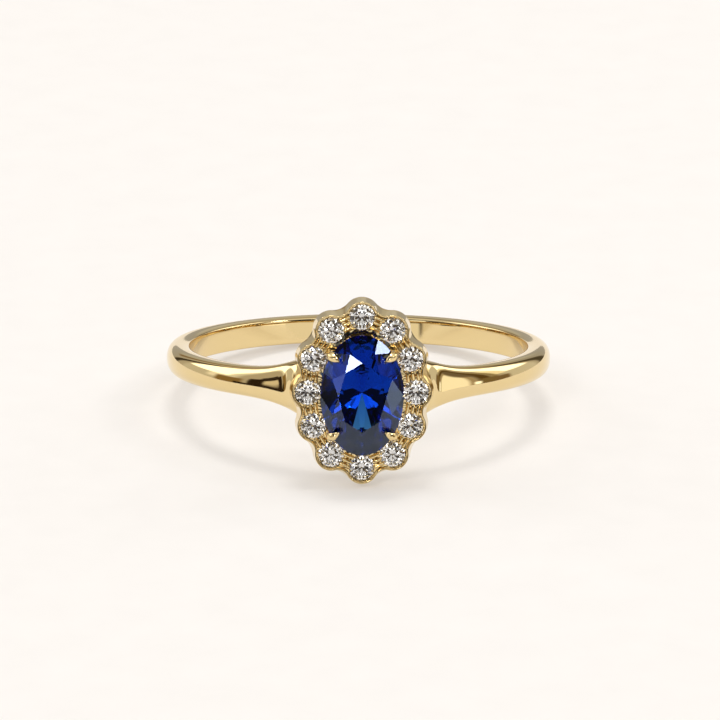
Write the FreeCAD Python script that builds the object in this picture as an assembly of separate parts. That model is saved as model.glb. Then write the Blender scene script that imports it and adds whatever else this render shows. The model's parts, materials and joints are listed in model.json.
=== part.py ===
"""A low-set cluster engagement ring, in millimetres.

An oval brilliant-cut sapphire stands in a tapered collet with four talon claws. Around it a scalloped halo
carries twelve round brilliants, each in its own seat and held by grains that it shares with its neighbours.
The head stands on a court-section shank whose trumpet shoulders widen and sweep up to the halo's sides, and a
gallery of two rails and eight posts braces the halo's overhang above the finger.

Everything is first modelled in the ring's own axes: the finger axis is Z, the head faces -Y and the bore's
centre is the origin. A head coordinate (x, u, h) is x across the band, u along the finger axis and h outward
from the finger axis. At the end the whole ring turns about X, so that it lies on a flat surface on the
halo's lower edge and the back of the shank, with +Z up.
"""

import FreeCAD, Part
import math
import os

Vector = FreeCAD.Vector

# Shank
BORE_R = 8.65  # finger size: 17.3 mm inside diameter
BAND_THICK = 1.15  # radial, at the crown of the section
BAND_HALF_WIDTH = 0.74
EDGE_HEIGHT = 0.55  # from the bore to the section's widest level
EDGE_ROUND = 0.16  # how far the section pulls in below that level
BORE_SKIN = 0.20  # the lofted section starts this far inside the bore, which is then cut true
DOME_EXPONENT = 2.3  # superellipse exponent of the outside, 2 being a plain ellipse
FLARE_GAIN = 1.17  # extra half width that the trumpet tends to
FLARE_ANGLE = 20.0  # degrees from the head at which the trumpet is half open
FLARE_SPREAD = 5.0  # degrees over which it opens
SWEEP_RISE = 0.60  # how far the shoulder's crown climbs in the fillet against the halo
SWEEP_ANGLE = 20.6  # degrees from the head at which it has climbed half of that
SWEEP_SPREAD = 1.2
SQUARE_GAIN = 1.2  # added to the exponent at the head
SQUARE_ANGLE, SQUARE_SPREAD = 24.0, 3.0
SEAT_H = 9.55  # flat seat under the collet
SEAT_HALF_X = 2.15
BACK_HOLE = (0.80, 1.20)  # half sizes, across and along the finger, of the open back

# Halo
STONES = 12
HALO_A, HALO_B = 2.66, 3.76  # semi-axes of the ellipse that the halo stones are centred on
DIAMOND_R = 0.63
DIAMOND_GIRDLE_H = 10.72
PLATE_BOTTOM_H = 9.95
PLATE_TOP_H = 10.72
RIM_TOP_H = 10.95
BASE_SCALLOP, BASE_VALLEY = 0.91, 1.00  # convex and concave radii of the wall's foot
RIM_SCALLOP, RIM_VALLEY = 0.80, 0.55  # and of its upper edge
LIP = 0.13  # thickness of the wall at the plate
LIP_TOP = 0.055  # width of its upper edge, inside which it slopes down to the stones
SEAT_CLEARANCE = 0.01
AZURE_R, AZURE_MOUTH_R = 0.30, 0.42  # light hole behind each halo stone

# Centre stone, collet and claws
SAPPHIRE_A, SAPPHIRE_B = 2.05, 3.00
SAPPHIRE_GIRDLE_H = 11.60
SAPPHIRE_DEPTH = 2.28  # the radius of a round stone that would have its heights
COLLET_TOP_H = 11.36
COLLET_TOP = (1.94, 2.86)
COLLET_FOOT = (1.42, 2.20)
COLLET_BORE_TOP = (1.66, 2.48)
COLLET_BORE_FOOT = (1.08, 1.80)
CLAW_ANGLE = 138.0  # parameter angle on the sapphire's outline
# Claw centre line: distance outside the girdle, height, half width, half thickness
CLAW_STATIONS = [
    (-0.54, 9.80, 0.17, 0.14),
    (-0.35, 10.45, 0.20, 0.15),
    (-0.13, 11.05, 0.23, 0.17),
    (0.04, 11.50, 0.25, 0.18),
    (0.07, 11.85, 0.25, 0.18),
    (-0.08, 12.12, 0.20, 0.14),
    (-0.28, 12.20, 0.13, 0.09),
    (-0.47, 12.14, 0.05, 0.04),
]

# Shared grains, gallery rails and posts
GRAIN_R = 0.09
GRAIN_PLACES = (0.25, -0.01, -0.27)  # outward from the middle of the gap between two stones
GRAVER_R, GRAVER_DEPTH = 0.07, 0.25  # the cuts that part the grains from each other
GRAIN_LIFT = 0.03  # height of a grain's centre line above the plate
GRAIN_BITE = 0.04  # how far it reaches over each stone's girdle
RAIL_A, RAIL_B = 2.15, 3.35
RAIL_H = 9.20
RAIL_R = 0.26
POST_R = 0.18
POST_SPREAD = 1.12  # the posts' upper ends against the rail's ellipse

# Brilliant cut, as shares of the outline's radius
TABLE = 0.575
STAR_TIP = 0.77
LOWER_HALF_TIP = 0.24
CROWN_ANGLE = 34.5
PAVILION_ANGLE = 41.0
GIRDLE_HALF = 0.025
FACET_STEP = 45.0

DOME_STEPS = 8  # points from the section's edge to its crown
SECTION_STEP = 1.5  # degrees between the shank's sections
TOLERANCE = 1e-6


def head(x, u, h):
    """A head coordinate as a point in the ring's own axes."""
    return Vector(x, -h, u)


def face_of(points):
    return Part.Face(Part.makePolygon(points + [points[0]]))


def solid_of(faces):
    """One closed solid from faces that meet edge to edge."""
    shell = Part.makeShell(faces)
    shell.sewShape()
    solid = Part.makeSolid(shell)
    if solid.Volume < 0:
        solid.reverse()
    return solid


def largest(shape):
    """The main solid of a cut, without its offcuts."""
    return max(shape.Solids, key=lambda solid: solid.Volume)


# ---------------------------------------------------------------- stones


def brilliant(half_x, half_y, height_scale, arc_steps):
    """A 57-facet brilliant with its girdle plane at z = 0 and its table up.

    The cut is laid out on a unit circle and stretched to the oval, which keeps every facet flat.
    arc_steps is how many straight pieces make each sixteenth of the girdle.
    """
    tilt = math.cos(math.radians(FACET_STEP / 2))
    crown = (1 - TABLE) * math.tan(math.radians(CROWN_ANGLE))
    depth = math.tan(math.radians(PAVILION_ANGLE))

    def at(radius, angle, z):
        a = math.radians(angle)
        return Vector(
            half_x * radius * math.cos(a), half_y * radius * math.sin(a), height_scale * z
        )

    def crown_z(radius_along_kite):
        return GIRDLE_HALF + crown * (1 - radius_along_kite) / (1 - TABLE)

    def pavilion_z(radius_along_main):
        return -GIRDLE_HALF - depth * (1 - radius_along_main)

    star_z = crown_z(STAR_TIP * tilt)
    lower_z = pavilion_z(LOWER_HALF_TIP * tilt)

    def half_facet_edge(kite_angle, side, tip_radius, tip_z, edge_z):
        """Girdle points of one upper or lower half facet, lying in its plane."""
        mid_angle = kite_angle + side * FACET_STEP / 2
        tip = Vector(
            tip_radius * math.cos(math.radians(mid_angle)),
            tip_radius * math.sin(math.radians(mid_angle)),
            tip_z,
        )
        ends = [
            Vector(math.cos(math.radians(a)), math.sin(math.radians(a)), edge_z)
            for a in (kite_angle, mid_angle)
        ]
        normal = (ends[0] - tip).cross(ends[1] - tip)
        points = []
        for k in range(arc_steps + 1):
            angle = kite_angle + side * FACET_STEP / 2 * k / arc_steps
            x, y = math.cos(math.radians(angle)), math.sin(math.radians(angle))
            z = tip.z - (normal.x * (x - tip.x) + normal.y * (y - tip.y)) / normal.z
            points.append(at(1, angle, z))
        return points

    faces = [face_of([at(TABLE, FACET_STEP * k, GIRDLE_HALF + crown) for k in range(8)])]
    for k in range(8):
        kite = FACET_STEP * k
        before, after = kite - FACET_STEP / 2, kite + FACET_STEP / 2
        table_corner = at(TABLE, kite, GIRDLE_HALF + crown)
        next_corner = at(TABLE, kite + FACET_STEP, GIRDLE_HALF + crown)
        star_before, star_after = at(STAR_TIP, before, star_z), at(STAR_TIP, after, star_z)
        faces.append(face_of([table_corner, next_corner, star_after]))
        faces.append(face_of([table_corner, star_before, at(1, kite, GIRDLE_HALF), star_after]))
        lower_before = at(LOWER_HALF_TIP, before, lower_z)
        lower_after = at(LOWER_HALF_TIP, after, lower_z)
        culet = at(0, 0, pavilion_z(0))
        faces.append(face_of([culet, lower_before, at(1, kite, -GIRDLE_HALF), lower_after]))
        for side, star, lower in ((-1, star_before, lower_before), (1, star_after, lower_after)):
            upper_edge = half_facet_edge(kite, side, STAR_TIP, star_z, GIRDLE_HALF)
            lower_edge = half_facet_edge(kite, side, LOWER_HALF_TIP, lower_z, -GIRDLE_HALF)
            faces.append(face_of([star] + upper_edge))
            faces.append(face_of([lower] + lower_edge))
            for i in range(arc_steps):
                faces.append(
                    face_of([upper_edge[i], upper_edge[i + 1], lower_edge[i + 1], lower_edge[i]])
                )
    return solid_of(faces)


def set_in_head(shape, x, u, h, turn=0.0):
    """Places a shape made with its table up at a head coordinate, turned about its own axis."""
    placed = shape.copy()
    placed.rotate(Vector(0, 0, 0), Vector(0, 0, 1), turn)
    placed.rotate(Vector(0, 0, 0), Vector(1, 0, 0), 90)
    placed.translate(head(x, u, h))
    return placed


# ---------------------------------------------------------------- halo outline


def spread_on_ellipse(count, half_x, half_y):
    """Points at equal distances along an ellipse, the first one at the top, as (x, u)."""
    steps = 3600
    angles = [math.pi / 2 + 2 * math.pi * k / steps for k in range(steps + 1)]
    points = [(half_x * math.cos(a), half_y * math.sin(a)) for a in angles]
    lengths = [0.0]
    for first, second in zip(points, points[1:]):
        lengths.append(lengths[-1] + math.dist(first, second))
    found, step = [], 0
    for k in range(count):
        while lengths[step] < lengths[-1] * k / count:
            step += 1
        found.append(points[step])
    return found


def gap_frames(centres):
    """For each neighbouring pair: the midpoint, the half distance and the outward direction."""
    frames = []
    for (x0, u0), (x1, u1) in zip(centres, centres[1:] + centres[:1]):
        half = math.dist((x0, u0), (x1, u1)) / 2
        outward = ((u1 - u0) / (2 * half), -(x1 - x0) / (2 * half))
        middle = ((x0 + x1) / 2, (u0 + u1) / 2)
        if outward[0] * middle[0] + outward[1] * middle[1] < 0:
            outward = (-outward[0], -outward[1])
        frames.append((middle, half, outward))
    return frames


def scalloped_wire(centres, scallop, valley, h):
    """A closed outline of arcs: one scallop round each centre, and a tangent hollow in each gap."""
    joins, hollows = [], []
    for (middle, half, outward), (x0, u0), (x1, u1) in zip(
        gap_frames(centres), centres, centres[1:] + centres[:1]
    ):
        reach = math.sqrt((scallop + valley) ** 2 - half**2)
        cx, cu = middle[0] + reach * outward[0], middle[1] + reach * outward[1]
        share = scallop / (scallop + valley)
        first = (x0 + (cx - x0) * share, u0 + (cu - u0) * share)
        last = (x1 + (cx - x1) * share, u1 + (cu - u1) * share)
        bottom = (
            middle[0] + (reach - valley) * outward[0],
            middle[1] + (reach - valley) * outward[1],
        )
        joins.append((first, last))
        hollows.append(bottom)
    edges = []
    for k, (x, u) in enumerate(centres):
        start, end = joins[k - 1][1], joins[k][0]
        distance = math.hypot(x, u)
        chord = ((start[0] + end[0]) / 2 - x, (start[1] + end[1]) / 2 - u)
        size = math.hypot(*chord)
        crest = (x + scallop * chord[0] / size, u + scallop * chord[1] / size)
        if distance > math.hypot(*crest):
            crest = (x - scallop * chord[0] / size, u - scallop * chord[1] / size)
        edges.append(Part.Arc(head(*start, h), head(*crest, h), head(*end, h)).toShape())
        edges.append(
            Part.Arc(head(*end, h), head(*hollows[k], h), head(*joins[k][1], h)).toShape()
        )
    return Part.Wire(edges)


def oval_wire(half_x, half_u, h):
    """An ellipse round the head's axis, long along the finger."""
    centre = head(0, 0, h)
    ellipse = Part.Ellipse(head(0, half_u, h), head(half_x, 0, h), centre)
    return Part.Wire([ellipse.toShape()])


def oval_cone(low, low_h, high, high_h):
    return Part.makeLoft([oval_wire(*low, low_h), oval_wire(*high, high_h)], True, True)


def turned(points, x, u):
    """A solid of revolution about an axis along h through (x, u), from (radius, h) points."""
    outline = [head(x + radius, u, h) for radius, h in points]
    return face_of(outline).revolve(head(x, u, 0), Vector(0, -1, 0), 360)


# ---------------------------------------------------------------- shank


def opening(angle, middle, spread):
    """A smooth step: 0 on the plain band, a half at the middle angle and 1 at the head."""
    return 1 / (1 + math.exp((angle - middle) / spread))


def section_points(angle):
    """One side of the section at an angle in degrees from the head, as (u, radius) from bore to crown."""
    half = BAND_HALF_WIDTH + FLARE_GAIN * opening(angle, FLARE_ANGLE, FLARE_SPREAD)
    crown = BORE_R + BAND_THICK + SWEEP_RISE * opening(angle, SWEEP_ANGLE, SWEEP_SPREAD)
    exponent = DOME_EXPONENT + SQUARE_GAIN * opening(angle, SQUARE_ANGLE, SQUARE_SPREAD)
    waist = BORE_R + EDGE_HEIGHT
    floor = BORE_R - BORE_SKIN
    points = []
    for k in range(3):
        t = math.radians(90 - 30 * k)
        points.append((half - EDGE_ROUND * (1 - math.cos(t)), waist - (waist - floor) * math.sin(t)))
    for k in range(DOME_STEPS):
        t = math.radians(90 * k / DOME_STEPS)
        reach = (math.cos(t) ** exponent + math.sin(t) ** exponent) ** (-1 / exponent)
        points.append((half * reach * math.cos(t), waist + (crown - waist) * reach * math.sin(t)))
    points.append((0.0, crown))
    return points


def shank_section(angle, side):
    """Closed section wire, on the +X side of the head or on the -X side."""
    a = math.radians(angle)

    def at(u, r):
        return Vector(side * r * math.sin(a), -r * math.cos(a), u)

    right = section_points(angle)
    points = [at(u, r) for u, r in right] + [at(-u, r) for u, r in reversed(right[:-1])]
    curve = Part.BSplineCurve()
    curve.interpolate(points)
    return Part.Wire([curve.toShape(), Part.LineSegment(points[-1], points[0]).toShape()])


def make_shank(halo_envelope):
    """The hoop: one closed loft, bored true, seated for the head and opened at the back."""
    angles = [SECTION_STEP * k for k in range(round(180 / SECTION_STEP) + 1)]
    sections = [shank_section(a, 1) for a in angles]
    sections += [shank_section(a, -1) for a in reversed(angles[1:-1])]
    hoop = Part.makeLoft(sections, True, False, True)
    tall = 12.0
    bore = Part.makeCylinder(BORE_R, tall, Vector(0, 0, -tall / 2))
    seat = Part.makeBox(2 * SEAT_HALF_X, 4.0, tall, Vector(-SEAT_HALF_X, -SEAT_H - 4.0, -tall / 2))
    back_hole = oval_cone(BACK_HOLE, BORE_R - 1.0, BACK_HOLE, SEAT_H + 1.0)
    return hoop.cut(bore).cut(seat).cut(halo_envelope).cut(back_hole)


# ---------------------------------------------------------------- head


def make_envelope(centres):
    """The halo's whole outside, wall and plate together, as one solid."""
    foot = scalloped_wire(centres, BASE_SCALLOP, BASE_VALLEY, PLATE_BOTTOM_H)
    edge = scalloped_wire(centres, RIM_SCALLOP, RIM_VALLEY, RIM_TOP_H)
    return Part.makeLoft([foot, edge], True, True)


def make_inner_prism(centres, top_h):
    """What lies inside the scalloped wall, from the plate's underside up to top_h."""
    wire = scalloped_wire(centres, RIM_SCALLOP - LIP, RIM_VALLEY + LIP, PLATE_BOTTOM_H)
    return Part.Face(wire).extrude(head(0, 0, top_h) - head(0, 0, PLATE_BOTTOM_H))


def make_lip_slope(centres):
    """What lies inside the wall above the plate, widening up to the wall's upper edge."""
    low = scalloped_wire(centres, RIM_SCALLOP - LIP, RIM_VALLEY + LIP, PLATE_TOP_H)
    high = scalloped_wire(centres, RIM_SCALLOP - LIP_TOP, RIM_VALLEY + LIP_TOP, RIM_TOP_H)
    return Part.makeLoft([low, high], True, True)


def seat_cutter(x, u):
    """A cone seat for one stone, its light hole and the hole's flared mouth."""
    slope = math.tan(math.radians(PAVILION_ANGLE))
    rim = DIAMOND_R + SEAT_CLEARANCE
    top = DIAMOND_GIRDLE_H - DIAMOND_R * GIRDLE_HALF
    neck_h = top - (rim - AZURE_R) * slope
    mouth_h = PLATE_BOTTOM_H + AZURE_MOUTH_R - AZURE_R
    return turned(
        [
            (0, PLATE_TOP_H + 0.5),
            (rim, PLATE_TOP_H + 0.5),
            (rim, top),
            (AZURE_R, neck_h),
            (AZURE_R, max(mouth_h, PLATE_BOTTOM_H + TOLERANCE)),
            (AZURE_MOUTH_R, PLATE_BOTTOM_H),
            (AZURE_MOUTH_R, PLATE_BOTTOM_H - 0.5),
            (0, PLATE_BOTTOM_H - 0.5),
        ],
        x,
        u,
    )


def collet_outside(low_h, high_h):
    """The collet's outer cone between two heights."""

    def at(h):
        share = (h - SEAT_H) / (COLLET_TOP_H - SEAT_H)
        return tuple(f + (t - f) * share for f, t in zip(COLLET_FOOT, COLLET_TOP))

    return oval_cone(at(low_h), low_h, at(high_h), high_h)


def make_collet(sapphire):
    """A tapered oval tube, its top cut to the pavilion's shape."""
    inside = oval_cone(COLLET_BORE_FOOT, SEAT_H - 0.01, COLLET_BORE_TOP, COLLET_TOP_H + 0.01)
    return collet_outside(SEAT_H, COLLET_TOP_H).cut(inside).cut(sapphire)


def make_claw(angle):
    """One talon: a tapering wire that leans out past the girdle and hooks in over the crown."""
    a = math.radians(angle)
    foot_x, foot_u = SAPPHIRE_A * math.cos(a), SAPPHIRE_B * math.sin(a)
    size = math.hypot(math.cos(a) / SAPPHIRE_A, math.sin(a) / SAPPHIRE_B)
    outward = (math.cos(a) / SAPPHIRE_A / size, math.sin(a) / SAPPHIRE_B / size)
    sideways = head(-outward[1], outward[0], 0)
    centres = [
        head(foot_x + s * outward[0], foot_u + s * outward[1], h) for s, h, _, _ in CLAW_STATIONS
    ]
    wires = []
    for k, (_, _, half_wide, half_thick) in enumerate(CLAW_STATIONS):
        before, after = centres[max(k - 1, 0)], centres[min(k + 1, len(centres) - 1)]
        along = (after - before).normalize()
        across = along.cross(sideways).normalize()
        wide = centres[k] + sideways * half_wide
        thick = centres[k] + across * half_thick
        ellipse = Part.Ellipse(wide, thick, centres[k])
        wires.append(Part.Wire([ellipse.toShape()]))
    return Part.makeLoft(wires, True, False)


def make_grain(middle, half, outward, place, stones):
    """A round-topped bridge of metal from one stone to the next, over both their girdles."""
    reach = half - math.sqrt(DIAMOND_R**2 - place**2) + GRAIN_BITE - GRAIN_R
    x, u = middle[0] + place * outward[0], middle[1] + place * outward[1]
    level = PLATE_TOP_H + GRAIN_LIFT
    first = head(x + reach * outward[1], u - reach * outward[0], level)
    last = head(x - reach * outward[1], u + reach * outward[0], level)
    bar = Part.makeCylinder(GRAIN_R, 2 * reach, first, last - first)
    bar = bar.fuse(Part.makeSphere(GRAIN_R, first)).fuse(Part.makeSphere(GRAIN_R, last))
    below = Part.makeBox(12, 2, 12, Vector(-6, -PLATE_TOP_H, -6))
    return largest(bar.cut(below).cut(stones))


def graver_cut(middle, outward, place):
    """The pointed cut in the plate between two grains of a gap."""
    x, u = middle[0] + place * outward[0], middle[1] + place * outward[1]
    top = PLATE_TOP_H + 0.1
    shoulder = PLATE_TOP_H - GRAVER_DEPTH + GRAVER_R
    return turned([(0, top), (GRAVER_R, top), (GRAVER_R, shoulder), (0, shoulder - GRAVER_R)], x, u)


def make_rail_ring():
    """The gallery's full oval wire, before the shank divides it in two."""
    path = oval_wire(RAIL_A, RAIL_B, RAIL_H)
    section = Part.Wire([Part.Circle(head(0, RAIL_B, RAIL_H), Vector(1, 0, 0), RAIL_R).toShape()])
    return path.makePipeShell([section], True, False)


def make_post(middle):
    """A round post from the rail up to the plate, leaning outward, at one of the halo's gaps."""
    angle = math.atan2(middle[1] / HALO_B, middle[0] / HALO_A)
    low = head(RAIL_A * math.cos(angle), RAIL_B * math.sin(angle), RAIL_H)
    high = head(
        RAIL_A * POST_SPREAD * math.cos(angle),
        RAIL_B * POST_SPREAD * math.sin(angle),
        PLATE_BOTTOM_H + 0.4,
    )
    along = high - low
    post = Part.makeCylinder(POST_R, along.Length, low, along)
    ceiling = Part.makeBox(12, 2, 12, Vector(-6, -PLATE_BOTTOM_H - 2, -6))
    return post.cut(ceiling)


# ---------------------------------------------------------------- resting pose


def resting_tilt():
    """The angle, in degrees, by which the finger axis leans back when the ring lies at rest.

    The halo's foot and the back of the shank then touch the same flat surface.
    """
    foot_u = HALO_B + BASE_SCALLOP

    def gap(degrees):
        """How much lower the back of the shank reaches than the halo's foot."""
        cos, sin = math.cos(math.radians(degrees)), math.sin(math.radians(degrees))
        back = max(u * cos + r * sin for u, r in section_points(180.0) if r >= BORE_R)
        return back - (foot_u * cos - PLATE_BOTTOM_H * sin)

    low, high = 0.0, 45.0
    while high - low > TOLERANCE:
        middle = (low + high) / 2
        if gap(middle) > 0:
            high = middle
        else:
            low = middle
    return low


# ---------------------------------------------------------------- assembly


def build():
    """Every sub-part by node name, in the ring's own axes."""
    centres = spread_on_ellipse(STONES, HALO_A, HALO_B)
    gaps = gap_frames(centres)
    nodes = {}

    cut_sapphire = brilliant(SAPPHIRE_A, SAPPHIRE_B, SAPPHIRE_DEPTH, 5)
    sapphire = set_in_head(cut_sapphire, 0, 0, SAPPHIRE_GIRDLE_H)
    nodes["sapphire"] = sapphire
    cut_diamond = brilliant(DIAMOND_R, DIAMOND_R, DIAMOND_R, 2)
    diamonds = []
    for k, (x, u) in enumerate(centres):
        turn = math.degrees(math.atan2(u, x))
        diamonds.append(set_in_head(cut_diamond, x, u, DIAMOND_GIRDLE_H, turn))
        nodes[f"halo_diamond_{k + 1:02d}"] = diamonds[-1]

    envelope = make_envelope(centres)
    plate = make_inner_prism(centres, PLATE_TOP_H)
    nodes["halo_wall"] = envelope.cut(plate).cut(make_lip_slope(centres))
    for x, u in centres:
        plate = plate.cut(seat_cutter(x, u))
    for middle, _, outward in gaps:
        for place, following in zip(GRAIN_PLACES, GRAIN_PLACES[1:]):
            plate = plate.cut(graver_cut(middle, outward, (place + following) / 2))
    plate = plate.cut(collet_outside(PLATE_BOTTOM_H - 0.2, PLATE_TOP_H + 0.2))

    claw_blanks = {
        "claw_upper_left": make_claw(CLAW_ANGLE),
        "claw_upper_right": make_claw(180 - CLAW_ANGLE),
        "claw_lower_left": make_claw(-CLAW_ANGLE),
        "claw_lower_right": make_claw(CLAW_ANGLE - 180),
    }
    collet_body = collet_outside(SEAT_H, COLLET_TOP_H)
    for name, blank in claw_blanks.items():
        plate = plate.cut(blank)
        nodes[name] = largest(blank.cut(collet_body).cut(sapphire))
    nodes["halo_plate"] = plate
    nodes["centre_collet"] = make_collet(sapphire)

    for k, (middle, half, outward) in enumerate(gaps):
        stones = Part.makeCompound([diamonds[k], diamonds[(k + 1) % STONES]])
        grains = [make_grain(middle, half, outward, place, stones) for place in GRAIN_PLACES]
        nodes[f"shared_grains_{k + 1:02d}"] = Part.makeCompound(grains)

    shank = make_shank(envelope)
    nodes["shank"] = shank
    rails = sorted(make_rail_ring().cut(shank).Solids, key=lambda s: s.CenterOfMass.z)
    posts = [(m, make_post(m)) for m, _, _ in gaps if abs(m[1]) > 1.5]
    nodes["gallery_rail_lower"] = rails[0]
    nodes["gallery_rail_upper"] = rails[-1]
    for k, (middle, post) in enumerate(posts):
        nodes[f"gallery_post_{k + 1}"] = post.cut(rails[-1] if middle[1] > 0 else rails[0])
    return nodes


def main():
    os.makedirs("parts", exist_ok=True)
    tilt = resting_tilt()
    for name, shape in build().items():
        placed = shape.copy()
        placed.rotate(Vector(0, 0, 0), Vector(1, 0, 0), -tilt)
        placed.exportStep(f"parts/{name}.step")


main()
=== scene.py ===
"""Looks for the cluster engagement ring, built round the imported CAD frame.

Lengths are in millimetres until place() turns a head coordinate into metres in the row frame. A head
coordinate (x, u, h) is x across the head, u along the finger axis and h outward from the finger axis.
"""

import json
import math

import bpy
import numpy as np
from mathutils import Matrix, Vector


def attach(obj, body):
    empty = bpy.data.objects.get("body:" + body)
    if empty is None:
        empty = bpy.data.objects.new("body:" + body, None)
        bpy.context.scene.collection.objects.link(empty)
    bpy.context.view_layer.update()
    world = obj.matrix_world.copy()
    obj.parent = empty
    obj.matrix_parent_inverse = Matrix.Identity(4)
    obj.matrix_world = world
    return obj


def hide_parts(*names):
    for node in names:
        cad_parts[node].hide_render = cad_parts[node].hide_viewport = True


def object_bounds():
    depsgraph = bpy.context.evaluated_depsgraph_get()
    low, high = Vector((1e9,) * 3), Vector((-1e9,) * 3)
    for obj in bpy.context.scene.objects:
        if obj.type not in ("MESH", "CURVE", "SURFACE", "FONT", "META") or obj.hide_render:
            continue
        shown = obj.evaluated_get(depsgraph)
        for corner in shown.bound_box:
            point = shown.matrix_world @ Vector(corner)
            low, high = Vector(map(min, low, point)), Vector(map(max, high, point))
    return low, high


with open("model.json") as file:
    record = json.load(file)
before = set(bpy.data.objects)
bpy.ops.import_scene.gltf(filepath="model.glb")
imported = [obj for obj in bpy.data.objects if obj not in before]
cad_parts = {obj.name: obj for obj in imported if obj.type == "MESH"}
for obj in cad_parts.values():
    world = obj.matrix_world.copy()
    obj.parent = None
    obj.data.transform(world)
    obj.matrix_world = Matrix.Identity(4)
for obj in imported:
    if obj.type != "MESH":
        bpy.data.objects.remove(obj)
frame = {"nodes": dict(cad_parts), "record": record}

FRAME_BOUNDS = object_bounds()
MM = 0.001

# Ring axes, from the finger bore in the record
BORE = next(m for m in frame["record"]["mounts"] if m["name"] == "finger_bore")
FINGER = np.array(BORE["axis"]) / np.linalg.norm(BORE["axis"])
HEAD = np.array((0.0, -FINGER[2], FINGER[1]))
ACROSS = np.array((1.0, 0.0, 0.0))
BORE_R = BORE["dims"]["r_mm"]

# Shank. Each gain grows towards the head, half of it by the angle, over a few spreads. Angles are degrees.
BAND_THICK = 1.15
BAND_HALF_WIDTH = 0.74
EDGE_HEIGHT = 0.55  # from the bore to the section's widest level
EDGE_ROUND = 0.16  # how far the section pulls in where it meets the bore
DOME_EXPONENT = 2.3  # 2 is a half ellipse, and more is squarer
FLARE_GAIN, FLARE_ANGLE, FLARE_SPREAD = 1.17, 20.0, 5.0
SWEEP_RISE, SWEEP_ANGLE, SWEEP_SPREAD = 0.60, 20.6, 1.2
SQUARE_GAIN, SQUARE_ANGLE, SQUARE_SPREAD = 1.2, 24.0, 3.0
FINE_TO, FINE_STEP, COARSE_STEP = 28.0, 0.25, 1.0  # spacing of the sections near the head and elsewhere
SEAT_H = 9.55  # flat under the collet
SEAT_HALF_X = 2.15
BACK_HOLE = (0.80, 1.20)  # half sizes of the oval hole behind the sapphire
SHARP_EDGE = 38.0  # degrees between faces above which the shank's edge isn't smoothed over

# Halo. The stones stand on an ellipse. A scallop is an arc round its stone, and a valley an arc in the gap.
HALO_A, HALO_B = 2.66, 3.76
BASE_SCALLOP, BASE_VALLEY = 0.91, 1.00  # radii at the foot of the wall
RIM_SCALLOP, RIM_VALLEY = 0.80, 0.55  # radii at its rim
LIP, LIP_TOP = 0.13, 0.055  # the lip's thickness at the plate and at its upper edge
LIP_ROUND = 0.016
FOOT_ROUND = 0.06
FOOT_THICK = 0.3  # about the distance from the foot's outline to the inner one

# Shared grains
GRAIN_R = 0.09
GRAIN_PLACES = (0.25, -0.01, -0.27)  # outward from the line between the two stones' centres
GRAIN_LIFT = 0.03  # of a grain's axis above the plate
GRAIN_ROOT = 0.01  # how far its foot runs into the plate
GRAIN_TIP_R = 0.002
GRAIN_CLEARANCE = 0.002  # left between a grain and a stone's facets
GRAIN_BITE = 0.04  # how far a grain runs in over each stone's edge

# Claws: distance outside the sapphire's girdle, height, half width, half thickness
CLAW_ANGLE = 138.0
CLAW_STATIONS = [
    (-0.54, 9.80, 0.17, 0.14),
    (-0.35, 10.45, 0.20, 0.15),
    (-0.13, 11.05, 0.23, 0.17),
    (0.04, 11.50, 0.25, 0.18),
    (0.07, 11.85, 0.25, 0.18),
    (-0.08, 12.12, 0.20, 0.14),
    (-0.28, 12.20, 0.13, 0.09),
    (-0.47, 12.14, 0.05, 0.04),
]
CLAW_RIDGE = 1.3  # exponent of the claw's section: 2 is an ellipse and 1 has a sharp ridge
CLAW_CLEARANCE = 0.004  # left between a claw and the sapphire's facets

# Gallery
RAIL_A, RAIL_B = 2.15, 3.35
RAIL_H = 9.20
RAIL_R = 0.26
RAIL_SINK = 0.05  # radians that a rail's end runs on into the shank
POST_R = 0.18
POST_SPREAD = 1.12
POST_REACH = 0.4  # from the plate's underside up to where a post's axis is aimed
POST_NEAREST = 1.5  # a gap closer than this to the head's middle has the shank below it and no post

DIAMONDS = sorted(n for n in frame["nodes"] if n.startswith("halo_diamond"))
GRAINS = sorted(n for n in frame["nodes"] if n.startswith("shared_grains"))
POSTS = sorted(n for n in frame["nodes"] if n.startswith("gallery_post"))


# ---------------------------------------------------------------- frame helpers


def place(points):
    """Head coordinates in millimetres to row-frame metres."""
    p = np.asarray(points, float)
    return MM * (p[..., :1] * ACROSS + p[..., 1:2] * FINGER + p[..., 2:] * HEAD)


def head_box(node):
    """Lowest and highest head coordinates, in millimetres, of a CAD node."""
    co = np.array([v.co for v in frame["nodes"][node].data.vertices]) / MM
    along = np.stack([co @ ACROSS, co @ FINGER, co @ HEAD], axis=1)
    return along.min(0), along.max(0)


def mesh_object(name, vertices, faces, material, slot, nodes):
    """A smooth mesh in the row frame that rides on the ring and stands for CAD nodes."""
    mesh = bpy.data.meshes.new(name)
    mesh.from_pydata([tuple(v) for v in place(vertices)], [], faces)
    mesh.validate()
    mesh.polygons.foreach_set("use_smooth", [True] * len(mesh.polygons))
    mesh.materials.append(material)
    piece = bpy.data.objects.new(name, mesh)
    bpy.context.scene.collection.objects.link(piece)
    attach(piece, "root")
    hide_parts(*nodes)
    return piece


def grid_faces(rows, columns, close_rows, close_columns, offset=0):
    """Quads between neighbouring points of a grid whose points run column by column in each row."""
    faces = []
    for i in range(rows if close_rows else rows - 1):
        for j in range(columns if close_columns else columns - 1):
            a, b = offset + i * columns, offset + ((i + 1) % rows) * columns
            k = (j + 1) % columns
            faces.append((a + j, a + k, b + k, b + j))
    return faces


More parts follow.
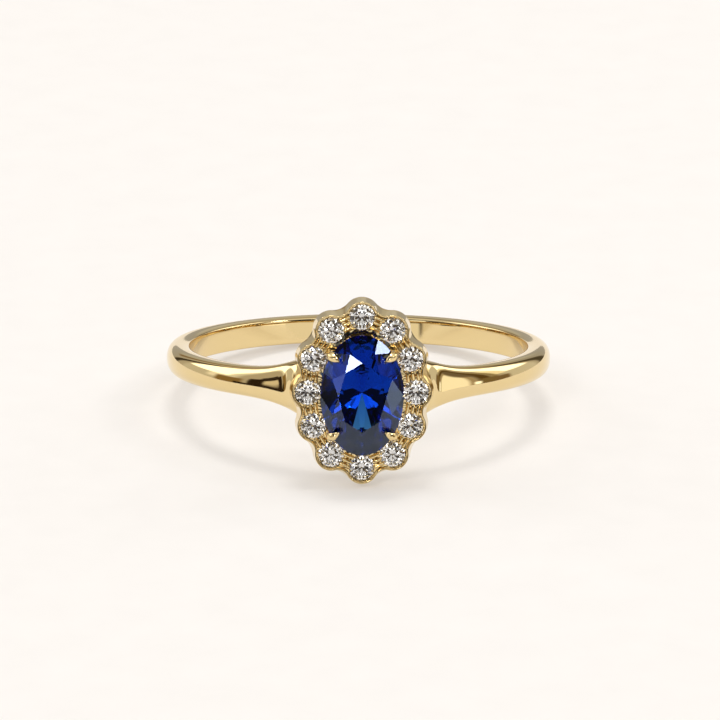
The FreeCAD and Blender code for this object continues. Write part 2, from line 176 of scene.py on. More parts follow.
def tube(rings):
    """Vertices and faces of a closed tube through rings of points, its ends fanned shut."""
    rings = np.asarray(rings)
    rows, columns = rings.shape[:2]
    vertices = list(rings.reshape(-1, 3)) + [rings[0].mean(0), rings[-1].mean(0)]
    faces = grid_faces(rows, columns, False, True)
    first, last = rows * columns, rows * columns + 1
    for j in range(columns):
        k = (j + 1) % columns
        faces.append((first, k, j))
        faces.append((last, (rows - 1) * columns + j, (rows - 1) * columns + k))
    return vertices, faces


def join(parts):
    """One vertex and face list from several."""
    vertices, faces = [], []
    for more_vertices, more_faces in parts:
        offset = len(vertices)
        vertices += list(more_vertices)
        faces += [tuple(offset + i for i in f) for f in more_faces]
    return vertices, faces


# ---------------------------------------------------------------- materials

# Sockets of a Mix node that mixes colours
FACTOR, COLOUR_A, COLOUR_B, MIXED = 0, 6, 7, 2

GOLD_COLOURS = (0.80, 0.63, 0.325), (0.83, 0.655, 0.345)
GOLD_CLOUD_SCALE = 180.0
WHEEL_MARK_SCALE = 2600.0
POLISH_ROUGHNESS = 0.03, 0.075
GEM_CLOUD_SCALE = 300.0
GEM_ROUGHNESS = 0.0, 0.006
FLOOR_COLOURS = (0.475, 0.458, 0.443), (0.495, 0.478, 0.463)
FLOOR_GRAIN_SCALE = 400.0
FLOOR_GLOW = 0.82


def node_material(name):
    """A new material, its node tree and its shader."""
    material = bpy.data.materials.new(name)
    material.use_nodes = True
    tree = material.node_tree
    shader = tree.nodes["Principled BSDF"]
    return material, tree, shader


def add_noise(tree, scale, detail, coordinates):
    """A noise texture over the given coordinates."""
    noise = tree.nodes.new("ShaderNodeTexNoise")
    noise.inputs["Scale"].default_value = scale
    noise.inputs["Detail"].default_value = detail
    tree.links.new(coordinates, noise.inputs["Vector"])
    return noise


def map_range(tree, value, low, high):
    """A socket that runs from low to high as value runs from 0 to 1."""
    node = tree.nodes.new("ShaderNodeMapRange")
    node.inputs["To Min"].default_value = low
    node.inputs["To Max"].default_value = high
    tree.links.new(value, node.inputs["Value"])
    return node.outputs["Result"]


def mix_colour(tree, factor, first, second):
    """A socket that runs from the first colour to the second as the factor runs from 0 to 1."""
    node = tree.nodes.new("ShaderNodeMix")
    node.data_type = "RGBA"
    node.inputs[COLOUR_A].default_value = (*first, 1)
    node.inputs[COLOUR_B].default_value = (*second, 1)
    tree.links.new(factor, node.inputs[FACTOR])
    return node.outputs[MIXED]


def make_gold(name, relief, relief_scale, relief_depth):
    """Polished 18 ct yellow gold with faint wheel marks, over a relief left by the hand that worked it."""
    material, tree, shader = node_material(name)
    coordinates = tree.nodes.new("ShaderNodeTexCoord").outputs["Object"]
    cloud = add_noise(tree, GOLD_CLOUD_SCALE, 3.0, coordinates)
    marks = add_noise(tree, WHEEL_MARK_SCALE, 4.0, coordinates)
    shader.inputs["Metallic"].default_value = 1.0
    colour = mix_colour(tree, cloud.outputs["Fac"], *GOLD_COLOURS)
    tree.links.new(colour, shader.inputs["Base Color"])
    tree.links.new(map_range(tree, marks.outputs["Fac"], *POLISH_ROUGHNESS), shader.inputs["Roughness"])
    bump = tree.nodes.new("ShaderNodeBump")
    bump.inputs["Strength"].default_value = relief
    bump.inputs["Distance"].default_value = relief_depth
    cuts = add_noise(tree, relief_scale, 1.0, coordinates)
    tree.links.new(cuts.outputs["Fac"], bump.inputs["Height"])
    tree.links.new(bump.outputs["Normal"], shader.inputs["Normal"])
    return material


def make_gem(name, low, high, ior, absorption=None, density=0.0, sheen_tint=(1, 1, 1)):
    """A clear polished stone whose body colour varies slightly."""
    material, tree, shader = node_material(name)
    coordinates = tree.nodes.new("ShaderNodeTexCoord").outputs["Object"]
    cloud = add_noise(tree, GEM_CLOUD_SCALE, 2.0, coordinates)
    colour = mix_colour(tree, cloud.outputs["Fac"], low, high)
    tree.links.new(colour, shader.inputs["Base Color"])
    tree.links.new(map_range(tree, cloud.outputs["Fac"], *GEM_ROUGHNESS), shader.inputs["Roughness"])
    shader.inputs["IOR"].default_value = ior
    shader.inputs["Transmission Weight"].default_value = 1.0
    shader.inputs["Specular Tint"].default_value = (*sheen_tint, 1)
    if absorption:
        volume = tree.nodes.new("ShaderNodeVolumeAbsorption")
        volume.inputs["Color"].default_value = (*absorption, 1)
        volume.inputs["Density"].default_value = density
        output = tree.nodes["Material Output"]
        tree.links.new(volume.outputs["Volume"], output.inputs["Volume"])
    return material


def make_floor_material():
    """Pale matt paper; about two fifths of its brightness is a painted glow, which lightens the shadows on
    it.
    """
    material, tree, shader = node_material("studio_floor")
    coordinates = tree.nodes.new("ShaderNodeTexCoord").outputs["Object"]
    grain = add_noise(tree, FLOOR_GRAIN_SCALE, 2.0, coordinates)
    colour = mix_colour(tree, grain.outputs["Fac"], *FLOOR_COLOURS)
    tree.links.new(colour, shader.inputs["Base Color"])
    # Painted glow: the paper's own colour also lights it, which lifts the shadows cast on it
    tree.links.new(colour, shader.inputs["Emission Color"])
    shader.inputs["Emission Strength"].default_value = FLOOR_GLOW
    shader.inputs["Roughness"].default_value = 0.9
    shader.inputs["Specular IOR Level"].default_value = 0.1
    return material


# ---------------------------------------------------------------- outlines shared by the head's pieces


def stone_places():
    """Head coordinates (x, u) of the halo stones, in order round the halo from the top."""
    centres = []
    for node in DIAMONDS:
        low, high = head_box(node)
        centres.append(((low[0] + high[0]) / 2, (low[1] + high[1]) / 2))
    return centres


CENTRES = stone_places()
DIAMOND_R = (head_box(DIAMONDS[0])[1][0] - head_box(DIAMONDS[0])[0][0]) / 2


def gap_frames():
    """For each neighbouring pair: the midpoint, the half distance and the outward direction."""
    frames = []
    for (x0, u0), (x1, u1) in zip(CENTRES, CENTRES[1:] + CENTRES[:1]):
        half = math.dist((x0, u0), (x1, u1)) / 2
        outward = np.array((u1 - u0, x0 - x1)) / (2 * half)
        middle = np.array(((x0 + x1) / 2, (u0 + u1) / 2))
        if outward @ middle < 0:
            outward = -outward
        frames.append((middle, half, outward))
    return frames


GAPS = gap_frames()


def scalloped_outline(scallop, valley, arc_steps=14, hollow_steps=12):
    """Points (x, u) round the halo: a convex arc at each stone and a tangent hollow in each gap."""
    joins, hollows = [], []
    for (middle, half, outward), first, second in zip(GAPS, CENTRES, CENTRES[1:] + CENTRES[:1]):
        reach = math.sqrt((scallop + valley) ** 2 - half**2)
        centre = middle + reach * outward
        share = scallop / (scallop + valley)
        start = np.array(first) + (centre - first) * share
        end = np.array(second) + (centre - second) * share
        joins.append((start, end))
        hollows.append(centre)
    points = []
    for k, centre in enumerate(CENTRES):
        points += arc(centre, joins[k - 1][1], joins[k][0], arc_steps, away=True)
        points += arc(hollows[k], joins[k][0], joins[k][1], hollow_steps, away=False)
    return np.array(points)


def arc(centre, start, end, steps, away):
    """Points from start up to, and without, end. away takes the arc that passes outside the centre."""
    centre = np.asarray(centre)
    radius = np.linalg.norm(start - centre)
    a0 = math.atan2(*(start - centre)[::-1])
    a1 = math.atan2(*(end - centre)[::-1])
    turn = (a1 - a0) % (2 * math.pi)
    middle = centre + radius * np.array((math.cos(a0 + turn / 2), math.sin(a0 + turn / 2)))
    other = 2 * centre - middle
    farther = np.hypot(*middle) > np.hypot(*other)
    if farther != away:
        turn -= 2 * math.pi
    angles = [a0 + turn * i / steps for i in range(steps)]
    return [centre + radius * np.array((math.cos(a), math.sin(a))) for a in angles]


# ---------------------------------------------------------------- shank


def opening(angle, middle, spread):
    """Nearly 1 at the head and nearly 0 at the back, with a half at the middle angle."""
    return 1 / (1 + math.exp((angle - middle) / spread))


def shank_section(angle, dome_steps=64, edge_steps=10):
    """Closed section loop (u, radius) at an angle in degrees from the head."""
    half = BAND_HALF_WIDTH + FLARE_GAIN * opening(angle, FLARE_ANGLE, FLARE_SPREAD)
    crown = BORE_R + BAND_THICK + SWEEP_RISE * opening(angle, SWEEP_ANGLE, SWEEP_SPREAD)
    exponent = DOME_EXPONENT + SQUARE_GAIN * opening(angle, SQUARE_ANGLE, SQUARE_SPREAD)
    waist = BORE_R + EDGE_HEIGHT
    loop = []
    for k in range(dome_steps + 1):
        t = math.pi * k / dome_steps
        c, s = math.cos(t), math.sin(t)
        reach = (abs(c) ** exponent + abs(s) ** exponent) ** (-1 / exponent)
        loop.append((half * reach * c, waist + (crown - waist) * reach * s))
    for k in range(1, edge_steps + 1):
        t = math.radians(90 * k / edge_steps)
        loop.append((-half + EDGE_ROUND * (1 - math.cos(t)), waist - EDGE_HEIGHT * math.sin(t)))
    inner = half - EDGE_ROUND
    loop += [(-inner + 2 * inner * k / 6, BORE_R) for k in range(1, 6)]
    for k in range(edge_steps):
        t = math.radians(90 - 90 * k / edge_steps)
        loop.append((half - EDGE_ROUND * (1 - math.cos(t)), waist - EDGE_HEIGHT * math.sin(t)))
    return loop


def inside_outline(x, u, outline):
    """Which points lie inside a closed outline."""
    inside = np.zeros(len(x), bool)
    for (x0, u0), (x1, u1) in zip(outline, np.roll(outline, -1, axis=0)):
        crosses = (u0 > u) != (u1 > u)
        with np.errstate(divide="ignore", invalid="ignore"):
            at = x0 + (u - u0) * (x1 - x0) / (u1 - u0)
        inside ^= crosses & (x < at)
    return inside


def build_shank(material):
    """The hoop with its shoulders, cut down under the halo and the collet and opened at the back."""
    plate_h = head_box("halo_plate")[0][2]
    foot = scalloped_outline(BASE_SCALLOP, BASE_VALLEY)
    angles = list(np.arange(0.0, FINE_TO, FINE_STEP)) + list(np.arange(FINE_TO, 180.1, COARSE_STEP))
    angles += [-a for a in reversed(angles[1:-1])]
    rings = []
    for angle in angles:
        a = math.radians(angle)
        loop = np.array(shank_section(abs(angle)))
        ring = np.stack([loop[:, 1] * math.sin(a), loop[:, 0], loop[:, 1] * math.cos(a)], axis=1)
        under_halo = inside_outline(ring[:, 0], ring[:, 1], foot) & (ring[:, 2] > plate_h)
        ring[under_halo, 2] = plate_h
        seat = (np.abs(ring[:, 0]) < SEAT_HALF_X) & (ring[:, 2] > SEAT_H)
        ring[seat, 2] = SEAT_H
        rings.append(ring)
    rings = np.array(rings)
    rows, columns = rings.shape[:2]
    shank = mesh_object(
        "shank_polished",
        rings.reshape(-1, 3),
        grid_faces(rows, columns, True, True),
        material,
        "polished_gold",
        ["shank"],
    )
    drill(shank, BACK_HOLE, BORE_R - 1.0, SEAT_H + 1.0)
    shank.data.set_sharp_from_angle(angle=math.radians(SHARP_EDGE))
    return shank


def drill(piece, half_sizes, low_h, high_h, around=96):
    """Cuts an upright oval hole through a piece on the head's axis."""
    rings = [
        [(half_sizes[0] * math.cos(t), half_sizes[1] * math.sin(t), h)
         for t in (2 * math.pi * j / around for j in range(around))]
        for h in (low_h, high_h)
    ]
    vertices, faces = tube(rings)
    mesh = bpy.data.meshes.new("drill")
    mesh.from_pydata([tuple(v) for v in place(vertices)], [], faces)
    cutter = bpy.data.objects.new("drill", mesh)
    bpy.context.scene.collection.objects.link(cutter)
    cut = piece.modifiers.new("drill", "BOOLEAN")
    cut.operation = "DIFFERENCE"
    cut.solver = "EXACT"
    cut.object = cutter
    drilled = piece.evaluated_get(bpy.context.evaluated_depsgraph_get())
    drilled_mesh = bpy.data.meshes.new_from_object(drilled)
    piece.modifiers.clear()
    piece.data = drilled_mesh
    bpy.data.objects.remove(cutter)


# ---------------------------------------------------------------- halo


def build_wall(material):
    """The scalloped strip: flared outside, its lip sloping down inward to the plate, upright below that."""
    low, high = head_box("halo_wall")
    foot_h, rim_h = low[2], high[2]
    foot = scalloped_outline(BASE_SCALLOP, BASE_VALLEY)
    rim = scalloped_outline(RIM_SCALLOP, RIM_VALLEY)
    inner = scalloped_outline(RIM_SCALLOP - LIP, RIM_VALLEY + LIP)
    plate_top = head_box("halo_plate")[1][2]
    depth = rim_h - plate_top
    profile = []  # outline, height
    # The foot's rounded outer edge
    for t in (math.radians(90 - 22.5 * k) for k in range(5)):
        inset = FOOT_ROUND * (1 - math.cos(t))
        outline = foot + (inner - foot) * (inset / FOOT_THICK)
        profile.append((outline, foot_h + FOOT_ROUND * (1 - math.sin(t))))
    # The flared outside
    for share in np.linspace(0.1, 0.92, 8):
        profile.append((foot + (rim - foot) * share, foot_h + (rim_h - foot_h) * share))
    # The rim's rounded outer edge
    for t in (math.radians(15 * k) for k in range(7)):
        inset = LIP_ROUND * (1 - math.cos(t))
        height = rim_h - LIP_ROUND * (1 - math.sin(t))
        profile.append((rim + (inner - rim) * (inset / LIP), height))
    # The slope from the rim down to the plate, a quarter of an ellipse
    for t in (math.radians(11.25 * k) for k in range(9)):
        inset = LIP - (LIP - LIP_TOP) * (1 - math.sin(t))
        height = rim_h - depth * (1 - math.cos(t))
        profile.append((rim + (inner - rim) * (inset / LIP), height))
    # The upright inside, hidden by the plate
    for share in np.linspace(0.1, 1.0, 5):
        profile.append((inner, rim_h - depth - (rim_h - depth - foot_h) * share))
    rings = np.array([np.column_stack([o, np.full(len(o), h)]) for o, h in profile])
    return mesh_object(
        "halo_wall_polished",
        rings.reshape(-1, 3),
        grid_faces(len(rings), rings.shape[1], True, True),
        material,
        "polished_gold",
        ["halo_wall"],
    )


def build_claw(angle, node, material, planes):
    """One talon along a smooth centre line, its inner side bearing on the sapphire."""
    low, high = head_box("sapphire")
    half_x, half_u = (high[0] - low[0]) / 2, (high[1] - low[1]) / 2
    a = math.radians(angle)
    girdle = np.array((half_x * math.cos(a), half_u * math.sin(a)))
    outward = np.array((math.cos(a) / half_x, math.sin(a) / half_u))
    outward /= np.linalg.norm(outward)
    sideways = np.array((-outward[1], outward[0], 0))
    stations = smooth_stations(CLAW_STATIONS, 6)
    centres = np.array([(*(girdle + s * outward), h) for s, h, _, _ in stations])
    rings = []
    around = 48
    for k, (_, _, wide, thick) in enumerate(stations):
        along = centres[min(k + 1, len(centres) - 1)] - centres[max(k - 1, 0)]
        across = np.cross(along / np.linalg.norm(along), sideways)
        ring = []
        for t in (2 * math.pi * j / around for j in range(around)):
            c, s = math.cos(t), math.sin(t)
            reach = (abs(c) ** CLAW_RIDGE + abs(s) ** CLAW_RIDGE) ** (-1 / CLAW_RIDGE)
            ring.append(centres[k] + reach * (wide * c * sideways + thick * s * across))
        rings.append(ring)
    vertices, faces = tube(rings)
    vertices = push_outside(np.array(vertices), planes, CLAW_CLEARANCE)
    return mesh_object(f"{node}_polished", vertices, faces, material, "polished_gold", [node])


def smooth_stations(stations, steps):
    """Catmull-Rom points through rows of numbers."""
    rows = np.array(stations)
    padded = np.vstack([2 * rows[0] - rows[1], rows, 2 * rows[-1] - rows[-2]])
    out = []
    for k in range(len(rows) - 1):
        p0, p1, p2, p3 = padded[k : k + 4]
        for i in range(steps):
            t = i / steps
            out.append(
                0.5
                * (
                    2 * p1
                    + (p2 - p0) * t
                    + (2 * p0 - 5 * p1 + 4 * p2 - p3) * t**2
                    + (3 * p1 - 3 * p2 + p3 - p0) * t**3
                )
            )
    out.append(rows[-1])
    return np.array(out)


def facet_planes(node):
    """Outward unit normals and offsets, in head coordinates, of a CAD stone's facets."""
    mesh = frame["nodes"][node].data
    planes = []
    basis = np.stack([ACROSS, FINGER, HEAD])
    for polygon in mesh.polygons:
        normal = basis @ np.array(polygon.normal)
        point = basis @ np.array(mesh.vertices[polygon.vertices[0]].co) / MM
        planes.append((*normal, normal @ point))
    return np.unique(np.round(planes, 6), axis=0)


def push_outside(points, planes, skin):
    """Moves points that lie inside a convex stone out through its nearest facet."""
    distance = points @ planes[:, :3].T - planes[:, 3]
    nearest = distance.argmax(axis=1)
    depth = distance[np.arange(len(points)), nearest]
    inside = depth < skin
    points = points.copy()
    points[inside] += (skin - depth[inside])[:, None] * planes[nearest[inside], :3]
    return points


def build_grains(material):
    """Round-topped bridges from stone to stone, raised from the plate in every gap."""
    around, steps = 20, 24
    foot = head_box("halo_plate")[1][2]
    for k, node in enumerate(GRAINS):
        middle, half, outward = GAPS[k]
        sideways = np.array((-outward[1], outward[0]))
        stones = [DIAMONDS[k], DIAMONDS[(k + 1) % len(DIAMONDS)]]
        parts = []
        for place_out in GRAIN_PLACES:
            reach = half - math.sqrt(DIAMOND_R**2 - place_out**2) + GRAIN_BITE - GRAIN_R
            centre = middle + place_out * outward
            rings = []
            for i in range(steps + 1):
                t = math.pi * (i / steps - 0.5)
                along = (reach if t > 0 else -reach if t < 0 else 0) + GRAIN_R * math.sin(t)
                radius = max(GRAIN_R * math.cos(t), GRAIN_TIP_R)
                ring = []
                for j in range(around):
                    s = 2 * math.pi * j / around
                    x, u = centre + along * sideways + radius * math.cos(s) * outward
                    h = foot + GRAIN_LIFT + radius * math.sin(s)
                    ring.append((x, u, max(h, foot - GRAIN_ROOT)))
                rings.append(ring)
            vertices, faces = tube(rings)
            vertices = np.array(vertices)
            for stone in stones:
                vertices = push_outside(vertices, DIAMOND_PLANES[stone], GRAIN_CLEARANCE)
            parts.append((vertices, faces))
        mesh_object(f"{node}_polished", *join(parts), material, "polished_gold", [node])


DIAMOND_PLANES = {node: facet_planes(node) for node in DIAMONDS}


def build_gallery(material):
    """Two rail arcs and their posts."""
    around = 24
    for side, node in ((-1, "gallery_rail_lower"), (1, "gallery_rail_upper")):
        low, high = head_box(node)
        rings = []
        start = math.asin(min(abs(low[1]), abs(high[1])) / RAIL_B) - RAIL_SINK
        for t in np.linspace(start, math.pi - start, 60):
            centre = np.array((RAIL_A * math.cos(t), side * RAIL_B * math.sin(t), RAIL_H))
            along = np.array((-RAIL_A * math.sin(t), side * RAIL_B * math.cos(t), 0))
            across = np.cross(along / np.linalg.norm(along), (0, 0, 1))
            rings.append(
                [
                    centre + RAIL_R * (math.cos(s) * across + math.sin(s) * np.array((0, 0, 1)))
                    for s in (2 * math.pi * j / around for j in range(around))
                ]
            )
        mesh_object(f"{node}_polished", *tube(rings), material, "polished_gold", [node])
    plate_h = head_box("halo_plate")[0][2]
    gaps = [middle for middle, _, _ in GAPS if abs(middle[1]) > POST_NEAREST]
    for node, middle in zip(POSTS, gaps):
        angle = math.atan2(middle[1] / HALO_B, middle[0] / HALO_A)
        foot = np.array((RAIL_A * math.cos(angle), RAIL_B * math.sin(angle), RAIL_H))
        top = np.array((foot[0] * POST_SPREAD, foot[1] * POST_SPREAD, plate_h + POST_REACH))
        rings = []
        for share in np.linspace(0, (plate_h - RAIL_H) / (top[2] - RAIL_H), 8):
            centre = foot + (top - foot) * share
            rings.append(
                [
                    centre + POST_R * np.array((math.cos(s), math.sin(s), 0))
                    for s in (2 * math.pi * j / around for j in range(around))
                ]
            )
        mesh_object(f"{node}_polished", *tube(rings), material, "polished_gold", [node])


# ---------------------------------------------------------------- build

gold = make_gold("polished_gold", relief=0.02, relief_scale=180.0, relief_depth=0.00002)
cut_gold = make_gold("hand_cut_gold", relief=1.0, relief_scale=3800.0, relief_depth=0.000028)
diamond = make_gem("diamond", (0.97, 0.965, 0.95), (1.0, 1.0, 1.0), ior=2.417)
sapphire = make_gem(
    "sapphire",
    (0.28, 0.64, 0.93),
    (0.33, 0.70, 0.97),
    ior=1.77,
    absorption=(0.0, 0.44, 0.82),
    density=1000.0,
    sheen_tint=(0.62, 0.74, 1.0),
)

build_shank(gold)
build_wall(gold)
SAPPHIRE_PLANES = facet_planes("sapphire")
for claw_node, claw_angle in (
    ("claw_upper_left", CLAW_ANGLE),
    ("claw_upper_right", 180 - CLAW_ANGLE),
    ("claw_lower_left", -CLAW_ANGLE),
    ("claw_lower_right", CLAW_ANGLE - 180),
):
    build_claw(claw_angle, claw_node, gold, SAPPHIRE_PLANES)
build_grains(cut_gold)
build_gallery(gold)

for node, piece in frame["nodes"].items():
    if piece.hide_render:
        continue
    piece.data.materials.clear()
    if node in DIAMONDS:
        piece.data.materials.append(diamond)
    elif node == "sapphire":
        piece.data.materials.append(sapphire)
    elif node == "halo_plate":
        piece.data.materials.append(cut_gold)
    else:
        piece.data.materials.append(gold)

# ---------------------------------------------------------------- stage, light, camera

# The floor is a strip a little wider than the picture, and the surroundings are reflected past its sides
FLOOR_Z = FRAME_BOUNDS[0].z
FLOOR_HALF_WIDTH = 27 * MM
FLOOR_FRONT, FLOOR_BACK = -300 * MM, 300 * MM
corners = [(-1, FLOOR_FRONT), (1, FLOOR_FRONT), (1, FLOOR_BACK), (-1, FLOOR_BACK)]
floor_mesh = bpy.data.meshes.new("studio_floor")
floor_mesh.from_pydata([(x * FLOOR_HALF_WIDTH, y, FLOOR_Z) for x, y in corners], [], [(0, 1, 2, 3)])
floor_mesh.materials.append(make_floor_material())
floor = bpy.data.objects.new("studio_floor", floor_mesh)
bpy.context.scene.collection.objects.link(floor)

# Camera, its angles in degrees
CAMERA_DISTANCE = 0.300
RING_PLANE_VIEW = 9.53  # between the line of sight and the ring's plane
YAW = -0.98
ROLL = 0.33
VIEW_WIDTH = 36.8286 * MM  # seen across the picture at the bore's centre
SENSOR = 36.0
AIM_DOWN, AIM_LEFT = 0.175 * MM, -0.078 * MM

tilt = math.atan2(FINGER[1], FINGER[2])
elevation = math.radians(RING_PLANE_VIEW) + tilt
yaw = math.radians(YAW)
towards = Vector(
    (math.sin(yaw) * math.cos(elevation), -math.cos(yaw) * math.cos(elevation), math.sin(elevation))
)
right = Vector((math.cos(yaw), math.sin(yaw), 0))
up = towards.cross(right)
camera_data = bpy.data.cameras.new("camera")
camera = bpy.data.objects.new("camera", camera_data)
bpy.context.scene.collection.objects.link(camera)
camera_data.lens = SENSOR * CAMERA_DISTANCE / VIEW_WIDTH
camera_data.sensor_width = SENSOR
camera_data.clip_start = 0.01
roll = math.radians(ROLL)
screen_right = right * math.cos(roll) + up * math.sin(roll)
screen_up = up * math.cos(roll) - right * math.sin(roll)
stand = towards * CAMERA_DISTANCE - up * AIM_DOWN - right * AIM_LEFT
turn = Matrix((screen_right, screen_up, towards)).transposed()
camera.matrix_world = Matrix.Translation(stand) @ turn.to_4x4()
bpy.context.scene.camera = camera


def softbox(name, azimuth, elevation_deg, distance, side, power, colour=(1, 1, 1)):
    """A square area light that faces the ring. Azimuth 0 is behind the camera and grows to the right."""
    a, e = math.radians(azimuth), math.radians(elevation_deg)
    direction = Vector((math.sin(a) * math.cos(e), -math.cos(a) * math.cos(e), math.sin(e)))
    data = bpy.data.lights.new(name, "AREA")
    data.shape = "RECTANGLE"
    data.size, data.size_y = side, side
    data.energy = power
    data.color = colour
    light = bpy.data.objects.new(name, data)
    light.location = direction * distance
    light.rotation_euler = direction.to_track_quat("Z", "Y").to_euler()
    bpy.context.scene.collection.objects.link(light)


softbox("overhead", 180, 78, 0.5, 0.14, 0.79, (1.0, 0.985, 0.96))
softbox("front_left", -22, 33, 0.5, 0.06, 0.25)
softbox("right", 74, 43, 0.5, 0.08, 0.30)

# ---------------------------------------------------------------- studio surroundings

# What the polished metal and the stones reflect. Each panel is a colour, its azimuths, its elevations, the
# width of its soft edge and how far it leans in azimuth per degree of height. Angles are in degrees, with
# azimuth 0 behind the camera. A later panel hangs in front of an earlier one.
WALL = (0.52, 0.48, 0.42)
SOFTBOX = (2.35, 2.33, 2.30)
PANELS = [
    # Ceiling and back wall
    ((0.95, 0.94, 0.92), (-200, 200), (52, 100), 6.0, 0),
    ((0.43, 0.42, 0.40), (-200, -148), (-20, 24), 3.0, 0),
    ((0.41, 0.40, 0.38), (150, 200), (-20, 24), 3.0, 0),
    ((0.52, 0.51, 0.48), (-200, -162), (9, 22), 3.0, 0),
    ((0.52, 0.51, 0.48), (162, 200), (9, 22), 3.0, 0),
    ((0.54, 0.53, 0.50), (-200, -172), (8, 17), 1.5, 0),
    ((0.58, 0.57, 0.54), (172, 200), (8, 17), 1.5, 0),
    ((0.27, 0.19, 0.10), (-159, -151), (8, 40), 2.5, 0),
    ((0.14, 0.11, 0.07), (-200, -171), (25, 31), 1.5, 0),
    ((0.28, 0.20, 0.08), (158, 176), (48, 58), 2.0, 0),
    ((0.30, 0.24, 0.12), (150, 161), (30, 40), 2.0, 0),
    # Left side: softbox, its low skirt, the slanted gap behind it and the brown in front of it
    ((0.90, 0.90, 0.86), (-92, -80), (-20, 42), 4.0, 0),
    ((0.66, 0.64, 0.60), (-130, -92), (-20, 9), 3.0, 0),
    ((1.05, 1.03, 1.00), (-103, -91), (-5, 12), 3.0, 0),
    (SOFTBOX, (-129, -88), (10, 49), 2.5, 0),
    ((0.05, 0.04, 0.025), (-146, -138), (-20, 36), 2.5, 0.2),
    ((0.27, 0.18, 0.07), (-95, -74), (-20, 5), 2.5, 0),
    ((0.03, 0.02, 0.01), (-80, -60), (-20, -6.3), 0.7, 0),
    # Right side: softbox, its low skirt, the gap behind it and the browns in front of it
    ((0.70, 0.68, 0.64), (98, 133), (-20, 12), 3.0, 0),
    (SOFTBOX, (102, 132), (13, 49), 3.0, 0),
    ((0.09, 0.075, 0.05), (138, 150), (-20, 36), 2.5, 0),
    ((0.44, 0.35, 0.24), (66, 74), (-20, 40), 4.0, 0),
    ((0.12, 0.07, 0.02), (75, 86), (-20, 40), 3.0, 0),
    ((0.34, 0.28, 0.17), (86, 92), (1, 36), 2.0, 0),
    ((0.22, 0.16, 0.075), (76, 91), (-20, 3), 2.0, 0),
    ((1.15, 1.08, 0.88), (92, 101), (9, 34), 2.0, 0),
    ((0.22, 0.15, 0.08), (88, 101), (-20, 1), 2.5, 0),
    ((1.25, 1.22, 1.15), (49, 68), (-20, 13), 2.5, 0),
    ((0.18, 0.14, 0.10), (50, 78), (16, 52), 3.0, 0),
    ((1.80, 1.90, 2.00), (71.5, 76.5), (-9.5, -4.5), 1.5, 0),
    # Front: dark round the camera, with a strip above it and small openings
    ((0.09, 0.07, 0.05), (-80, -48), (34, 60), 3.0, 0),
    ((0.04, 0.037, 0.035), (-50, 48), (-20, 71), 2.0, 0),
    ((3.00, 2.97, 2.90), (-36, 40), (37, 49), 1.5, 0),
    ((0.90, 0.89, 0.87), (-16, 16), (5.5, 11), 0.7, 0),
    ((1.0, 0.96, 0.92), (-44, 48), (-20, -0.3), 0.5, 0),
    ((0.95, 0.91, 0.86), (28, 50), (-20, 4.5), 1.0, 0),
    ((0.95, 0.91, 0.86), (-46, -28), (-20, 2), 1.0, 0),
    ((0.03, 0.018, 0.010), (-70, -43), (-20, 8.5), 1.5, 0),
    ((0.80, 0.72, 0.60), (-59, -45), (-3.5, 3), 1.5, 0),
    ((0.03, 0.018, 0.010), (-63, -51), (8, 12), 1.0, 0),
    ((1.15, 1.13, 1.10), (-49, -37), (8.5, 14), 1.0, 0),
]
CAMERA_BACKDROP = (1.0, 0.96, 0.93)
DEGREES = 180 / math.pi

world = bpy.data.worlds.new("studio")
bpy.context.scene.world = world
world.use_nodes = True
tree = world.node_tree


def calculate(operation, *inputs):
    """A math node on sockets or numbers."""
    node = tree.nodes.new("ShaderNodeMath")
    node.operation = operation
    for socket, value in zip(node.inputs, inputs):
        if isinstance(value, (int, float)):
            socket.default_value = value
        else:
            tree.links.new(value, socket)
    return node.outputs[0]


def soft_step(value, start, end):
    """0 before start and 1 after end, smooth between."""
    node = tree.nodes.new("ShaderNodeMapRange")
    node.interpolation_type = "SMOOTHSTEP"
    node.inputs["From Min"].default_value = start
    node.inputs["From Max"].default_value = end
    tree.links.new(value, node.inputs["Value"])
    return node.outputs["Result"]


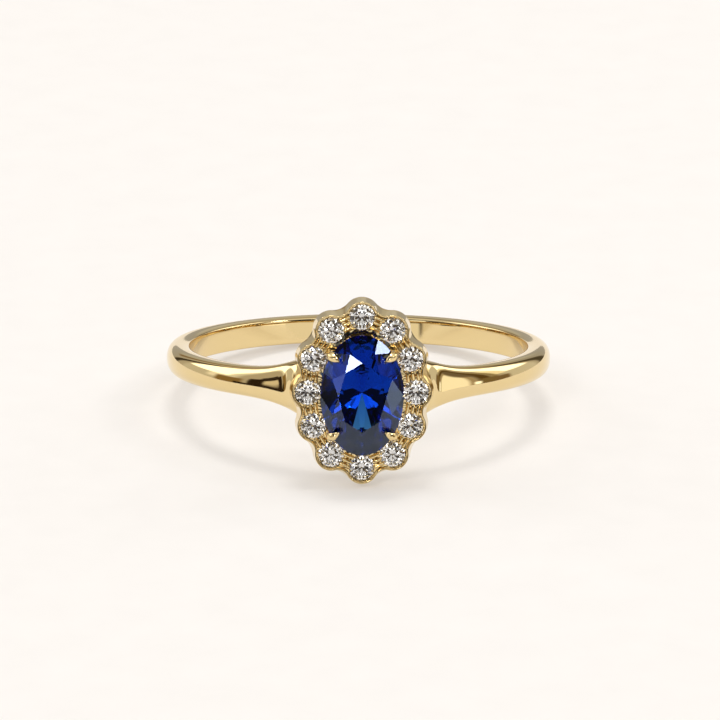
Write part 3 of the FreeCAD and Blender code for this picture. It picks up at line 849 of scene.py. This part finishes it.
def within(value, limits, soft):
    """1 between two limits and 0 outside them, smooth across each."""
    low, high = limits
    rise = soft_step(value, low - soft, low + soft)
    fall = soft_step(value, high + soft, high - soft)
    return calculate("MULTIPLY", rise, fall)


def hang_panel(backdrop, colour, azimuths, elevations, soft, slant):
    """The backdrop's colour socket with one soft-edged panel in front."""
    turned = calculate("MULTIPLY_ADD", height, -slant, azimuth) if slant else azimuth
    cover = calculate("MULTIPLY", within(turned, azimuths, soft), within(height, elevations, soft))
    mix = tree.nodes.new("ShaderNodeMix")
    mix.data_type = "RGBA"
    tree.links.new(cover, mix.inputs[FACTOR])
    tree.links.new(backdrop, mix.inputs[COLOUR_A])
    mix.inputs[COLOUR_B].default_value = (*colour, 1)
    return mix.outputs[MIXED]


separate = tree.nodes.new("ShaderNodeSeparateXYZ")
tree.links.new(tree.nodes.new("ShaderNodeTexCoord").outputs["Generated"], separate.inputs["Vector"])
minus_y = calculate("MULTIPLY", separate.outputs["Y"], -1.0)
azimuth = calculate("MULTIPLY", calculate("ARCTAN2", separate.outputs["X"], minus_y), DEGREES)
height = calculate("MULTIPLY", calculate("ARCSINE", separate.outputs["Z"]), DEGREES)
base = tree.nodes.new("ShaderNodeRGB")
base.outputs[0].default_value = (*WALL, 1)
studio_colour = base.outputs[0]
for panel in PANELS:
    studio_colour = hang_panel(studio_colour, *panel)

light_path = tree.nodes.new("ShaderNodeLightPath")
camera_colour = tree.nodes.new("ShaderNodeMix")
camera_colour.data_type = "RGBA"
tree.links.new(light_path.outputs["Is Camera Ray"], camera_colour.inputs[FACTOR])
tree.links.new(studio_colour, camera_colour.inputs[COLOUR_A])
camera_colour.inputs[COLOUR_B].default_value = (*CAMERA_BACKDROP, 1)
tree.links.new(camera_colour.outputs[MIXED], tree.nodes["Background"].inputs["Color"])

# ---------------------------------------------------------------- finish

scene = bpy.context.scene
scene.view_settings.view_transform = "Standard"
scene.cycles.max_bounces = 24
scene.cycles.transmission_bounces = 24
scene.cycles.glossy_bounces = 8
scene.cycles.transparent_max_bounces = 8
